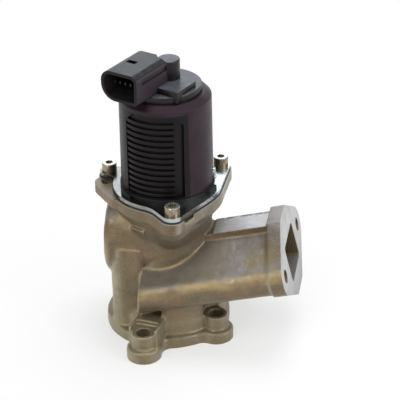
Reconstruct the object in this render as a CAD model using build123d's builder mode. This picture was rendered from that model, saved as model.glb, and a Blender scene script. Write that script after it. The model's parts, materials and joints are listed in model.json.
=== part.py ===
"""EGR valve: cast body, poppet valve, solenoid actuator with position sensor and sealed connector.

Origin: centre of the round base port, on its mounting face. +Z up along the valve axis,
+X along the plan direction of the side duct. Millimetres.
"""
from build123d import *
from math import atan2, cos, degrees, hypot, radians, sin, sqrt
import os

os.makedirs("parts", exist_ok=True)

# ---------------------------------------------------------------- driving dimensions
# fits
running_fit = 0.05          # radial, a sliding shaft in its bore
body_gap = 0.35             # between neighbours that move apart
seat_gap = 0.3              # between the closed valve and its seat

# base flange
base_radius = 36.0
base_shift = -1.5           # the flange is set back from the valve axis
base_thickness = 7.0
base_register_radius = 24.0
base_register_depth = 8.0
outlet_radius = 22.0
outlet_top = 16.0
base_edge_round = 1.6
base_wall_radius = 32.5
base_wall_top = 18.0
base_shoulder = 5.0
base_skirt_height = 27.0    # of the wall that carries the duct
base_skirt_step = 0.5       # it stands in from the round wall
ear_hole_radius = 4.25      # M8 clearance
ear_radius = 10.0
ear_blend = 6.0             # between the ears and the round flange
ear_boss_radius = 6.8
ear_boss_height = 8.5       # over the flange
ear_pocket_radius = 7.8
ear_pocket_height = 10.0    # room for a bolt head over each boss
front_block_width = 17.0
front_block_rise = 3.0      # over the boss it stands behind
front_block_reach = 2.0     # past the hole
front_notch_width = 13.6
front_notch_back = 7.0      # from the hole to the wall behind it
ear_places = [(-8.0, -43.5), (29.5, -18.0), (-16.0, 38.0)]

# side duct, inclined
duct_angle = 13.5           # degrees above the horizontal
duct_height = 33.0          # where its axis crosses the valve axis
duct_length = 72.7          # from the valve axis to the flange face
duct_back = 12.0            # how far it runs past the valve axis
duct_flange_thickness = 8.0
duct_half_height = 19.4
duct_flat_width = 17.6      # of its flat top and bottom
duct_pad_width = 17.2
duct_pad_rise = 3.5
duct_pad_offset = -1.6      # sideways
duct_pad_start = 26.5
duct_boss_radius = 9.6
duct_hole_spacing = 59.0
duct_hole_radius = 4.0      # M8 thread
duct_hole_depth = 20.0
duct_flange_radius = 10.6
duct_flange_half_height = 24.0
duct_flange_flat = 20.0
port_width = 32.0
port_height = 22.3
port_drop = 1.5             # of the passage below the duct's axis
port_corner = 2.5

# gas chamber and valve
seat_bore_radius = 17.0
seat_ring_height = 6.0
seat_throat_radius = 12.0
seat_land = 1.2             # width of the 45 degree sealing land
chamber_radius = 16.5
chamber_height = 24.0       # over the seat ring
spring_floor_thickness = 12.0
valve_lift = 6.0
head_radius = 13.2
head_rim = 1.6
head_rise = 2.0             # over the seat ring
stem_radius = 3.0
stem_drop = 3.7             # stem end under the top flange
guide_radius = 6.5
guide_drop = 3.0            # into the gas chamber
guide_rise = 4.0            # into the spring chamber
shield_radius = 12.0
shield_wall = 1.0
shield_drop = 5.0
seal_radius = 6.0
seal_height = 3.0

# neck, spring chamber and side boss
neck_radius = 24.3
collar_height = 9.5         # cone under the top flange
rib_drop = 19.0             # of the ribs that carry the screw lobes
rib_foot_radius = 4.0
rib_inset = 3.0             # of the rib's foot inside the neck
rib_core_inset = 0.5
lug_azimuth = -119.0
lug_drop = 8.2              # under the top flange
lug_height = 12.0
lug_reach = 4.0             # at its top, tapering to nothing
lug_foot = 1.0              # inside the neck at its lower end
lug_width = 8.5
spring_bore_radius = 18.5
block_left = 31.0
block_half_depth = 25.5
block_corner = 9.0
block_top = 57.0
side_boss_radius = 24.5
side_boss_height = 56.0
side_boss_length = 34.0
side_boss_round = 4.0
plug_radius = 19.0
plug_wall = 1.5
plug_recess = 2.0
plug_depth = 8.0
plug_edge_round = 1.2
cap_pocket_depth = 11.0

# return spring and its seats
spring_radius = 12.5
spring_wire_radius = 1.1
wire_sides = 8              # the wire's section is drawn with flats
spring_turns = 4
spring_seat_margin = 2.4    # washer past the wire, on both sides
spring_end_gap = 0.05
spring_seat_thickness = 1.2
groove_radius = 2.4
groove_drop = 5.0           # under the stem end
groove_height = 1.4
collet_radius = 5.0
collet_overlap = 1.0
collet_split = 0.5
retainer_radius = 15.5
retainer_thickness = 2.0
retainer_hub = 4.5

# top flange, plate and screws
flange_top = 85.7
flange_thickness = 6.5
flange_margin = 0.8         # how far the casting stands past the plate
pry_azimuth = -62.0         # slot for lifting the plate off
pry_depth = 3.5
pry_height = 1.8
pry_width = 7.0
gasket_thickness = 0.8
plate_thickness = 2.5
plate_waist_radius = 30.8
screw_reach = 37.0          # from the valve axis to each screw
screw_angles = [44.0, 164.0, 284.0]     # right, left and front
lobe_radii = [5.4, 5.4, 6.3]
left_arm_fillet = 6.5
front_arm_fillet = 15.0
front_arm_taper = 7.1       # the front arm springs from a circle this much inside the waist
spare_hole_place = (-35.5, 2.1)
spare_hole_radius = 3.3
spare_ear_radius = 7.0
spare_web_place = (-24.0, -12.5)
screw_radius = 2.5          # M5
screw_head_radius = 4.25
screw_head_height = 5.0
screw_length = 9.5
tapped_depth = 8.0          # in the casting
screw_socket_across = 4.0
screw_socket_depth = 2.4
screw_edge_bevel = 0.4

# solenoid
shell_wall = 1.8            # between the yoke can and the floor of the windows
shell_taper = 0.4           # the shell's radius shrinks by this up to its shoulder
actuator_foot = 2.2         # dark ring between the plate and the shell
shell_height = 52.3
shell_shoulder = 3.0
shell_ceiling_gap = 0.2
shell_ceiling = 4.3         # thickness over the yoke washer
window_depth = 1.9
window_centre = -97.0       # azimuth of the ribbed front window; the other is opposite
window_half_angle = 42.5
window_chamfer = 5.0
window_bottom_margin = 1.0
window_top_margin = 2.5
ribbed_arc = 70.0
rib_count = 13
first_rib_margin = 1.7      # over the window's lower edge
last_rib_margin = 5.25      # under its upper edge
rib_height = 1.4
rib_width = 1.9
rib_root = 0.3              # sunk into the window's floor
foot_step = 0.6             # of the foot ring past the shell
foot_count = 3
foot_first_angle = -16.0
foot_width = 8.0
foot_depth = 4.0
can_wall = 1.8
coil_clearance = 1.0
coil_outer_radius = 19.5
bobbin_wall = 1.2
winding_gap = 0.6           # winding inside the bobbin's rims
sleeve_radius = 10.2
sleeve_wall = 0.8
spigot_radius = 11.5
core_flange_radius = 18.0
core_flange_thickness = 3.0
armature_length = 22.0
armature_clearance = 2.0    # air gap left over the core at full lift
push_rod_radius = 1.6
push_rod_grip = 10.0
yoke_thickness = 4.0

# top cap, tower and connector
cap_radius = 20.5
cap_thickness = 4.0
cap_wall = 2.4
cap_edge_round = 0.8
cap_spigot_radius = 12.0
tower_place = (2.4, 0.4)
tower_radius = 6.2
tower_height = 14.4
tower_wall = 1.4
plunger_radius = 1.8
plunger_head_radius = 3.1
plunger_head_height = 1.4
plunger_stop_gap = 1.1      # left over the guide at full lift
sensor_spring_radius = 2.2
sensor_spring_length = 3.5
sensor_wire_radius = 0.3
sensor_turns = 3
track_offset = 2.7          # board plane, from the tower axis
track_gap = 1.0             # under the tower's roof
pedestal_height = 3.3
pedestal_back = -4.0
pedestal_length = 18.0
pedestal_width = 12.8
connector_azimuth = -114.0
connector_reach = 33.0      # mouth, from the valve axis
connector_start = 2.0       # its back end, from the valve axis
connector_offset = -6.8     # sideways, away from the duct
connector_width = 23.2
connector_rise = 16.5       # over the cap
connector_skirt = 0.5       # how far it hangs down in front of the cap
connector_wall = 1.7
connector_depth = 17.0
connector_upper_round = 6.0
connector_lower_round = 9.0
connector_corner = 1.8       # the others, rounder than the wall is thick
connector_bevel_width = 3.0     # along the top of the straight side
connector_bevel_drop = 2.0
cap_fit_gap = 0.1           # between the cap and the parts moulded round it
side_groove_height = 3.6    # over the shell's middle
side_groove_width = 3.0
side_groove_depth = 1.0
side_groove_stop = 5.0
latch_reach = 17.0
latch_side = -9.2
latch_length = 3.4
latch_width = 6.0
carrier_thickness = 3.0
pin_count = 5
pin_pitch = 3.4
pin_width = 1.5
pin_thickness = 0.8
pin_reach = 8.0

# ---------------------------------------------------------------- derived places
# body, from the base face up
ear_boss_top = base_thickness + ear_boss_height
seat_top = outlet_top + seat_ring_height
chamber_top = seat_top + chamber_height
spring_floor = chamber_top + spring_floor_thickness
stem_top = flange_top - stem_drop
flange_bottom = flange_top - flange_thickness
duct_tilt = radians(duct_angle)
duct_plane = Plane(origin=(0, 0, duct_height), x_dir=(0, 1, 0), z_dir=(cos(duct_tilt), 0, sin(duct_tilt)))
duct_bolts = [(-duct_hole_spacing / 2, 0), (duct_hole_spacing / 2, 0)]
side_plane = Plane(origin=(0, 0, side_boss_height), x_dir=(0, 1, 0), z_dir=(-1, 0, 0))


def around(reach, angle):
    """Point at a distance and an azimuth from the valve axis."""
    return (reach * cos(radians(angle)), reach * sin(radians(angle)))


screws = [around(screw_reach, angle) for angle in screw_angles]

# the shell of the actuator is moulded round the yoke can
can_radius = coil_outer_radius + coil_clearance + can_wall
window_floor_radius = can_radius + shell_wall
actuator_radius = window_floor_radius + window_depth
actuator_top_radius = actuator_radius - shell_taper
foot_radius = actuator_radius + foot_step

# plate, solenoid and cap, from the top flange up
plate_bottom = flange_top + gasket_thickness
plate_top = plate_bottom + plate_thickness
actuator_base = plate_top + actuator_foot
shell_top = actuator_base + shell_height
cap_bottom = shell_top + shell_shoulder
cap_top = cap_bottom + cap_thickness
armature_top = cap_bottom - shell_ceiling - shell_ceiling_gap
armature_bottom = armature_top - armature_length
core_top = armature_bottom - valve_lift - armature_clearance
tower_top = cap_top + tower_height
connector_top = cap_top + connector_rise
connector_height = connector_rise + connector_skirt
connector_side = connector_offset + connector_width / 2     # its straight side
connector_aim = radians(connector_azimuth)
connector_plane = Plane(
    origin=(0, 0, connector_top - connector_height / 2),
    x_dir=(-sin(connector_aim), cos(connector_aim), 0),
    z_dir=(cos(connector_aim), sin(connector_aim), 0),
)


def radial_plane(azimuth):
    """Vertical plane through the valve axis: local x outwards, local y up."""
    a = radians(azimuth)
    return Plane(origin=(0, 0, 0), x_dir=(cos(a), sin(a), 0), z_dir=(sin(a), -cos(a), 0))


def section(inner, outer, bottom, top):
    """Half section of a ring, drawn on a radial plane."""
    with Locations(((inner + outer) / 2, (bottom + top) / 2)):
        Rectangle(outer - inner, top - bottom)


def screw_arm(screw, root, end):
    """Arm of the plate: the hull of a circle on the valve axis and a smaller one round a screw."""
    with BuildSketch(mode=Mode.PRIVATE) as arm:
        Circle(root)
        with Locations(screw):
            Circle(end)
        make_hull()
    return arm.sketch


def lobed_outline(sketch, margin):
    """Outline of the three-lobed plate, set out by a margin, in an open sketch."""
    waist = plate_waist_radius + margin
    right, left, front = [lobe + margin for lobe in lobe_radii]
    Circle(waist)
    with Locations(screws[0]):
        Circle(right)
    with Locations(screws[2]):
        Circle(front)
    make_hull()
    # left of the front screw the outline follows the waist and two hollow-sided arms
    with Locations(Location((0, 0, 0), (0, 0, screw_angles[2]))):
        Rectangle(2 * screw_reach, 2 * screw_reach, align=(Align.MIN, Align.MAX), mode=Mode.SUBTRACT)
    Circle(waist)
    add(screw_arm(screws[1], left, left))
    add(screw_arm(screws[2], waist - front_arm_taper, front))
    for screw, corners, radius in [(screws[1], 2, left_arm_fillet), (screws[2], 1, front_arm_fillet)]:
        on_waist = sketch.vertices().filter_by(lambda v: abs(hypot(v.X, v.Y) - waist) < 0.01)
        fillet(on_waist.sort_by_distance((*screw, 0))[:corners], radius - margin)


def star_outline(core_radius, reach, radii):
    """Hull of a round core and three lobes at the azimuths of the screws."""
    Circle(core_radius)
    for angle, radius in zip(screw_angles, radii):
        with Locations(around(reach, angle)):
            Circle(radius)
    make_hull()


def duct_outline(boss_radius, half_height, flat):
    """Outer section of the duct: two bolt bosses joined over a flat top and bottom."""
    with Locations(*duct_bolts):
        Circle(boss_radius)
    Rectangle(flat, 2 * half_height)
    make_hull()


def connector_outline():
    """Section of the plug shell: round towards one side, bevelled over the straight other side."""
    round_side = connector_side - connector_width
    top = connector_height / 2
    with BuildLine() as outline:
        FilletPolyline(
            (round_side, -top),
            (connector_side, -top),
            (connector_side, top - connector_bevel_drop),
            (connector_side - connector_bevel_width, top),
            (round_side, top),
            radius=[
                connector_lower_round,
                connector_corner,
                connector_corner,
                connector_corner,
                connector_upper_round,
            ],
            close=True,
        )
    make_face(outline.edges())


def save(piece, name):
    piece.part.label = name
    export_step(piece.part, f"parts/{name}.step")


# ---------------------------------------------------------------- cast valve body
# the duct ends in a vertical wall just past the valve axis
with BuildPart() as duct_casting:
    with BuildSketch(duct_plane.offset(-2 * duct_back)):
        duct_outline(duct_boss_radius, duct_half_height, duct_flat_width)
    extrude(amount=2 * duct_back + duct_length - duct_flange_thickness)
    split(bisect_by=Plane(origin=(-duct_back, 0, 0), z_dir=(1, 0, 0)), keep=Keep.TOP)

# three ribs grow out of the neck to carry the screw lobes of the top flange
with BuildPart() as rib_casting:
    with BuildSketch(Plane.XY.offset(flange_bottom)):
        star_outline(neck_radius - rib_core_inset, screw_reach, [lobe + flange_margin for lobe in lobe_radii])
    with BuildSketch(Plane.XY.offset(flange_bottom - rib_drop)):
        star_outline(neck_radius - rib_core_inset, neck_radius - rib_inset, 3 * [rib_foot_radius])
    loft()

with BuildPart() as valve_body:
    # round base flange with three bolt ears
    with BuildSketch() as base_outline:
        with Locations((base_shift, 0)):
            Circle(base_radius)
        with Locations(*ear_places):
            Circle(ear_radius)
        fillet(base_outline.vertices(), ear_blend)
    extrude(amount=base_thickness)
    fillet(valve_body.edges().group_by(Axis.Z)[-1], base_edge_round)
    # round base wall with its shoulder, higher where it carries the duct
    with BuildSketch(Plane.XZ) as wall_section:
        section(0, base_wall_radius, 0, base_wall_top)
        fillet(wall_section.vertices().group_by(Axis.Y)[-1].sort_by(Axis.X)[-1], base_shoulder)
    revolve(axis=Axis.Z)
    with BuildSketch():
        Circle(base_wall_radius - base_skirt_step)
        Rectangle(base_wall_radius, 2 * base_wall_radius, align=(Align.MAX, Align.CENTER), mode=Mode.SUBTRACT)
    extrude(amount=base_skirt_height)
    # block behind the bolt face of the front ear
    front_ear = ear_places[0]
    front_distance = hypot(*front_ear)
    front_turn = Location((0, 0, 0), (0, 0, degrees(atan2(front_ear[1], front_ear[0]))))
    with BuildSketch():
        with Locations(front_turn):
            with Locations(((front_distance + front_block_reach) / 2, 0)):
                Rectangle(front_distance + front_block_reach, front_block_width)
    extrude(amount=ear_boss_top + front_block_rise)
    # column under the side boss, closing the end of the duct
    with BuildSketch():
        with Locations((-(duct_back + block_left) / 2, 0)):
            corners = Rectangle(block_left - duct_back, 2 * block_half_depth).vertices()
        fillet(corners.group_by(Axis.X)[0], block_corner)
    extrude(amount=block_top)
    # inclined duct and its oval flange
    add(duct_casting.part)
    with BuildSketch(duct_plane.offset(duct_length - duct_flange_thickness)):
        duct_outline(duct_flange_radius, duct_flange_half_height, duct_flange_flat)
    extrude(amount=duct_flange_thickness)
    # raised machining pad along the top of the duct
    with BuildSketch(duct_plane.offset(duct_pad_start)):
        with Locations((duct_pad_offset, duct_half_height)):
            Rectangle(duct_pad_width, 2 * duct_pad_rise)
    extrude(amount=duct_length - duct_flange_thickness - duct_pad_start)
    # round neck, with a cone under the top flange
    with BuildSketch(Plane.XZ):
        section(0, neck_radius, duct_height, flange_bottom)
        with BuildLine():
            Polyline(
                (0, flange_bottom - collar_height),
                (neck_radius, flange_bottom - collar_height),
                (plate_waist_radius + flange_margin, flange_bottom),
                (0, flange_bottom),
                close=True,
            )
        make_face()
    revolve(axis=Axis.Z)
    add(rib_casting.part)
    # horizontal side boss with a rounded rim
    with BuildSketch(Plane.XZ) as boss_section:
        with Locations((-side_boss_length / 2, side_boss_height + side_boss_radius / 2)):
            Rectangle(side_boss_length, side_boss_radius)
        fillet(boss_section.vertices().group_by(Axis.Y)[-1].sort_by(Axis.X)[0], side_boss_round)
    revolve(axis=Axis((0, 0, side_boss_height), (1, 0, 0)))
    # top flange with its spare ear
    with BuildSketch(Plane.XY.offset(flange_bottom)) as flange_outline:
        lobed_outline(flange_outline, flange_margin)
    extrude(amount=flange_thickness)
    with BuildSketch(Plane.XY.offset(flange_bottom)):
        with Locations(spare_hole_place, spare_web_place):
            Circle(spare_ear_radius)
        make_hull()
    extrude(amount=flange_thickness)
    # slot for prying the plate off
    with BuildSketch(radial_plane(pry_azimuth)):
        section(screw_reach - pry_depth, screw_reach + pry_depth, flange_top - pry_height, flange_top)
    extrude(amount=pry_width / 2, both=True, mode=Mode.SUBTRACT)
    # wedge-shaped casting lug on the neck
    lug_top = flange_bottom - lug_drop
    with BuildSketch(radial_plane(lug_azimuth)):
        with BuildLine():
            Polyline(
                (neck_radius - lug_reach, lug_top - lug_height),
                (neck_radius - lug_foot, lug_top - lug_height),
                (neck_radius + lug_reach, lug_top),
                (neck_radius - lug_reach, lug_top),
                close=True,
            )
        make_face()
    extrude(amount=lug_width / 2, both=True)
    # base port, seat bore and gas chamber
    with BuildSketch(Plane.XZ):
        section(0, base_register_radius, 0, base_register_depth)
        section(0, outlet_radius, base_register_depth, outlet_top)
        section(0, seat_bore_radius, outlet_top, seat_top)
        section(0, chamber_radius, seat_top, chamber_top)
        section(0, guide_radius, chamber_top, spring_floor)
        section(0, spring_bore_radius, spring_floor, flange_top)
    revolve(axis=Axis.Z, mode=Mode.SUBTRACT)
    # rectangular gas passage
    with BuildSketch(duct_plane):
        with Locations((0, -port_drop)):
            RectangleRounded(port_width, port_height, port_corner)
    extrude(amount=duct_length, mode=Mode.SUBTRACT)
    # bolt holes of the duct flange
    with BuildSketch(duct_plane.offset(duct_length)):
        with Locations(*duct_bolts):
            Circle(duct_hole_radius)
    extrude(amount=-duct_hole_depth, mode=Mode.SUBTRACT)
    # bolt faces and holes of the base ears: a square notch in front, round pockets behind
    with BuildSketch(Plane.XY.offset(ear_boss_top)):
        with Locations(front_turn):
            with Locations((front_distance - front_notch_back, 0)):
                Rectangle(base_radius, front_notch_width, align=(Align.MIN, Align.CENTER))
    extrude(amount=front_block_rise, mode=Mode.SUBTRACT)
    with BuildSketch(Plane.XY.offset(base_thickness)):
        with Locations(*ear_places[1:]):
            Circle(ear_pocket_radius)
    extrude(amount=ear_boss_height + ear_pocket_height, mode=Mode.SUBTRACT)
    with BuildSketch():
        with Locations(*ear_places):
            Circle(ear_boss_radius)
    extrude(amount=ear_boss_top)
    with BuildSketch():
        with Locations(*ear_places):
            Circle(ear_hole_radius)
    extrude(amount=ear_boss_top, mode=Mode.SUBTRACT)
    # tapped holes under the plate, and the spare hole
    with BuildSketch(Plane.XY.offset(flange_top)):
        with Locations(*screws):
            Circle(screw_radius + running_fit)
    extrude(amount=-tapped_depth, mode=Mode.SUBTRACT)
    with BuildSketch(Plane.XY.offset(flange_bottom)):
        with Locations(spare_hole_place):
            Circle(spare_hole_radius)
    extrude(amount=flange_thickness, mode=Mode.SUBTRACT)
    # core pocket in the side boss
    with BuildSketch(side_plane.offset(side_boss_length)):
        Circle(plug_radius)
    extrude(amount=-cap_pocket_depth, mode=Mode.SUBTRACT)
save(valve_body, "valve_body")

with BuildPart() as core_plug:
    with BuildSketch(side_plane.offset(side_boss_length - plug_recess)):
        Circle(plug_radius)
    extrude(amount=-plug_depth)
    fillet(core_plug.edges().sort_by(Axis.X)[-1], plug_edge_round)
    with BuildSketch(side_plane.offset(side_boss_length - plug_recess)):
        Circle(plug_radius - plug_wall)
    extrude(amount=plug_wall - plug_depth, mode=Mode.SUBTRACT)
save(core_plug, "core_plug")

# ---------------------------------------------------------------- gas valve
# the sealing land is a 45 degree cone: radius + height is constant on it
land_sum = seat_throat_radius + seat_land + outlet_top
head_sum = land_sum - seat_gap * sqrt(2)
head_edge = head_sum - head_radius
neck_start = seat_throat_radius - seat_land
head_top = seat_top + head_rise

with BuildPart() as seat_ring:
    with BuildSketch(Plane.XZ) as ring_section:
        section(seat_throat_radius, seat_bore_radius, outlet_top, seat_top)
        corner = ring_section.vertices().group_by(Axis.Y)[0].sort_by(Axis.X)[0]
        chamfer(corner, seat_land)
    revolve(axis=Axis.Z)
save(seat_ring, "seat_ring")

with BuildPart() as valve_head:
    with BuildSketch(Plane.XZ):
        with BuildLine():
            Polyline(
                (neck_start, head_sum - neck_start),
                (head_radius, head_edge),
                (head_radius, head_edge - head_rim),
                (0, head_edge - head_rim),
                (0, head_top),
                (stem_radius, head_top),
            )
            TangentArc((stem_radius, head_top), (neck_start, head_sum - neck_start), tangent=(0, -1))
        make_face()
    revolve(axis=Axis.Z)
save(valve_head, "valve_head")

groove_bottom = stem_top - groove_drop

with BuildPart() as valve_stem:
    with BuildSketch(Plane.XZ):
        section(0, stem_radius, head_top, stem_top)
    revolve(axis=Axis.Z)
    with BuildSketch(Plane.XZ):
        section(groove_radius, stem_radius, groove_bottom, groove_bottom + groove_height)
    revolve(axis=Axis.Z, mode=Mode.SUBTRACT)
    chamfer(valve_stem.edges().sort_by(Axis.Z)[-1], 0.6)
save(valve_stem, "valve_stem")

guide_top = spring_floor + guide_rise

with BuildPart() as stem_guide:
    with BuildSketch(Plane.XZ):
        section(stem_radius + running_fit, guide_radius, chamber_top - guide_drop, guide_top)
    revolve(axis=Axis.Z)
    chamfer(stem_guide.edges().group_by(Axis.Z)[0].sort_by(SortBy.LENGTH)[-1], 1.0)
save(stem_guide, "stem_guide")

with BuildPart() as stem_shield:
    with BuildSketch(Plane.XZ):
        section(guide_radius, shield_radius, chamber_top - shield_wall, chamber_top)
        section(shield_radius - shield_wall, shield_radius, chamber_top - shield_drop, chamber_top)
    revolve(axis=Axis.Z)
save(stem_shield, "stem_shield")

with BuildPart() as stem_seal:
    with BuildSketch(Plane.XZ):
        section(stem_radius + running_fit, seal_radius, guide_top, guide_top + seal_height)
    revolve(axis=Axis.Z)
    chamfer(stem_seal.edges().group_by(Axis.Z)[-1].sort_by(SortBy.LENGTH)[-1], 0.8)
save(stem_seal, "stem_seal")

# ---------------------------------------------------------------- return spring and its seats
spring_bottom = spring_floor + spring_seat_thickness
retainer_bottom = groove_bottom - collet_overlap

washer_half = spring_wire_radius + spring_seat_margin

with BuildPart() as spring_seat:
    with BuildSketch(Plane.XZ):
        section(spring_radius - washer_half, spring_radius + washer_half, spring_floor, spring_bottom)
    revolve(axis=Axis.Z)
save(spring_seat, "spring_seat")

with BuildPart() as return_spring:
    coil_rise = retainer_bottom - spring_bottom - 2 * spring_wire_radius - 2 * spring_end_gap
    with BuildLine() as coil_line:
        Helix(
            pitch=coil_rise / spring_turns,
            height=coil_rise,
            radius=spring_radius,
            center=(0, 0, spring_bottom + spring_wire_radius + spring_end_gap),
        )
    with BuildSketch(Plane(origin=coil_line.line @ 0, x_dir=(1, 0, 0), z_dir=coil_line.line % 0)):
        RegularPolygon(spring_wire_radius, wire_sides)
    sweep()
save(return_spring, "return_spring")

with BuildPart() as spring_retainer:
    with BuildSketch(Plane.XZ):
        section(collet_radius, retainer_radius, retainer_bottom, retainer_bottom + retainer_thickness)
        section(collet_radius, collet_radius + 2, retainer_bottom, retainer_bottom + retainer_hub)
    revolve(axis=Axis.Z)
    chamfer(spring_retainer.edges().group_by(Axis.Z)[-1].sort_by(SortBy.LENGTH)[-1], 0.8)
save(spring_retainer, "spring_retainer")

with BuildPart() as retainer_collets:
    with BuildSketch(Plane.XZ):
        section(stem_radius, collet_radius, retainer_bottom, retainer_bottom + retainer_hub)
        section(groove_radius, collet_radius, groove_bottom, groove_bottom + groove_height)
    revolve(axis=Axis.Z)
    # split into two halves
    with BuildSketch(Plane.XY.offset(retainer_bottom)):
        Rectangle(2 * collet_radius, collet_split)
    extrude(amount=retainer_hub, mode=Mode.SUBTRACT)
save(retainer_collets, "retainer_collets")

# ---------------------------------------------------------------- plate, gasket and screws
with BuildPart() as plate_gasket:
    with BuildSketch(Plane.XY.offset(flange_top)) as gasket_outline:
        lobed_outline(gasket_outline, 0)
        Circle(spring_bore_radius, mode=Mode.SUBTRACT)
        with Locations(*screws):
            Circle(screw_radius + running_fit, mode=Mode.SUBTRACT)
    extrude(amount=gasket_thickness)
save(plate_gasket, "plate_gasket")

with BuildPart() as mounting_plate:
    with BuildSketch(Plane.XY.offset(plate_bottom)) as plate_outline:
        lobed_outline(plate_outline, 0)
        Circle(spigot_radius, mode=Mode.SUBTRACT)
        with Locations(*screws):
            Circle(screw_radius + running_fit, mode=Mode.SUBTRACT)
    extrude(amount=plate_thickness)
save(mounting_plate, "mounting_plate")

with BuildPart() as plate_screws:
    with BuildSketch(Plane.XY.offset(plate_top)):
        with Locations(*screws):
            Circle(screw_head_radius)
    extrude(amount=screw_head_height)
    chamfer(plate_screws.edges().group_by(Axis.Z)[-1], screw_edge_bevel)
    with BuildSketch(Plane.XY.offset(plate_top)):
        with Locations(*screws):
            Circle(screw_radius)
    extrude(amount=-screw_length)
    with BuildSketch(Plane.XY.offset(plate_top + screw_head_height)):
        with Locations(*screws):
            RegularPolygon(screw_socket_across / 2, 6, major_radius=False)
    extrude(amount=-screw_socket_depth, mode=Mode.SUBTRACT)
save(plate_screws, "plate_screws")

# ---------------------------------------------------------------- solenoid
core_flange_top = plate_top + core_flange_thickness
core_bore = push_rod_radius + running_fit
bobbin_radius = sleeve_radius + sleeve_wall
washer_bottom = armature_top - yoke_thickness

with BuildPart() as pole_core:
    with BuildSketch(Plane.XZ):
        section(core_bore, spigot_radius, plate_bottom, plate_top)
        section(core_bore, core_flange_radius, plate_top, core_flange_top)
        section(core_bore, sleeve_radius, core_flange_top, core_top)
    revolve(axis=Axis.Z)
    chamfer(pole_core.edges().group_by(Axis.Z)[-1].sort_by(SortBy.LENGTH)[-1], 1.2)
save(pole_core, "pole_core")

with BuildPart() as armature_sleeve:
    with BuildSketch(Plane.XZ):
        section(sleeve_radius, bobbin_radius, core_flange_top, armature_top)
    revolve(axis=Axis.Z)
save(armature_sleeve, "armature_sleeve")

with BuildPart() as coil_bobbin:
    with BuildSketch(Plane.XZ):
        section(bobbin_radius, bobbin_radius + bobbin_wall, core_flange_top, washer_bottom)
        section(bobbin_radius, coil_outer_radius, core_flange_top, core_flange_top + bobbin_wall)
        section(bobbin_radius, coil_outer_radius, washer_bottom - bobbin_wall, washer_bottom)
    revolve(axis=Axis.Z)
save(coil_bobbin, "coil_bobbin")

with BuildPart() as coil_winding:
    with BuildSketch(Plane.XZ):
        section(
            bobbin_radius + bobbin_wall,
            coil_outer_radius - winding_gap,
            core_flange_top + bobbin_wall,
            washer_bottom - bobbin_wall,
        )
    revolve(axis=Axis.Z)
save(coil_winding, "coil_winding")

with BuildPart() as yoke_can:
    with BuildSketch(Plane.XZ):
        section(can_radius - can_wall, can_radius, core_flange_top, washer_bottom)
    revolve(axis=Axis.Z)
save(yoke_can, "yoke_can")

with BuildPart() as yoke_washer:
    with BuildSketch(Plane.XZ):
        section(bobbin_radius, can_radius, washer_bottom, armature_top)
    revolve(axis=Axis.Z)
save(yoke_washer, "yoke_washer")

with BuildPart() as armature:
    with BuildSketch(Plane.XZ):
        section(0, sleeve_radius - running_fit, armature_bottom, armature_top)
        section(0, push_rod_radius, armature_bottom, armature_bottom + push_rod_grip)
    revolve(axis=Axis.Z)
    with BuildSketch(Plane.XY.offset(armature_bottom)):
        Circle(push_rod_radius)
    extrude(amount=push_rod_grip, mode=Mode.SUBTRACT)
    chamfer(armature.edges().group_by(Axis.Z)[-1], 0.8)
save(armature, "armature")

with BuildPart() as push_rod:
    with BuildSketch(Plane.XY.offset(stem_top + body_gap)):
        Circle(push_rod_radius)
    extrude(amount=armature_bottom + push_rod_grip - stem_top - body_gap)
save(push_rod, "push_rod")

# ---------------------------------------------------------------- moulded shell of the actuator
window_bottom = actuator_base + window_bottom_margin
window_top = shell_top - window_top_margin
rib_pitch = (window_top - window_bottom - first_rib_margin - last_rib_margin) / (rib_count - 1)

with BuildPart() as window_cutter:
    with BuildSketch(radial_plane(window_centre + 90)):
        with Locations((0, (window_bottom + window_top) / 2)):
            corners = Rectangle(
                2 * window_floor_radius * sin(radians(window_half_angle)),
                window_top - window_bottom,
            ).vertices()
        chamfer(corners.group_by(Axis.Y)[-1], window_chamfer)
    extrude(amount=actuator_radius + window_depth)
    with BuildSketch(Plane.XY.offset(actuator_base)):
        Circle(window_floor_radius)
    extrude(amount=shell_height, mode=Mode.SUBTRACT)

with BuildPart() as actuator_shell:
    with BuildSketch(Plane.XZ):
        with BuildLine():
            Polyline(
                (can_radius, actuator_base),
                (actuator_radius, actuator_base),
                (actuator_top_radius, shell_top),
                (actuator_top_radius - shell_shoulder, cap_bottom),
                (cap_spigot_radius, cap_bottom),
                (cap_spigot_radius, armature_top + shell_ceiling_gap),
                (can_radius, armature_top + shell_ceiling_gap),
                close=True,
            )
        make_face()
    revolve(axis=Axis.Z)
    shoulder = actuator_shell.edges().filter_by(GeomType.CIRCLE)
    fillet(shoulder.filter_by(lambda e: abs(e.radius - actuator_top_radius) < 0.01), 1.0)
    # two recessed windows, with wide smooth panels between them
    with PolarLocations(0, 2):
        add(window_cutter.part, mode=Mode.SUBTRACT)
    # stack of cooling ribs in each window
    for centre in (window_centre, window_centre + 180):
        with BuildSketch(radial_plane(centre - window_half_angle)):
            for index in range(rib_count):
                rib_middle = window_bottom + first_rib_margin + index * rib_pitch
                section(
                    window_floor_radius - rib_root,
                    window_floor_radius + rib_height,
                    rib_middle - rib_width / 2,
                    rib_middle + rib_width / 2,
                )
        revolve(axis=Axis.Z, revolution_arc=ribbed_arc)
save(actuator_shell, "actuator_shell")

with BuildPart() as foot_ring:
    with BuildSketch(Plane.XZ):
        section(core_flange_radius, foot_radius, plate_top, actuator_base)
    revolve(axis=Axis.Z)
    with BuildSketch(Plane.XY.offset(plate_top)):
        with PolarLocations(foot_radius, foot_count, foot_first_angle):
            Rectangle(foot_depth, foot_width)
    extrude(amount=actuator_foot)
save(foot_ring, "foot_ring")

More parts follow.
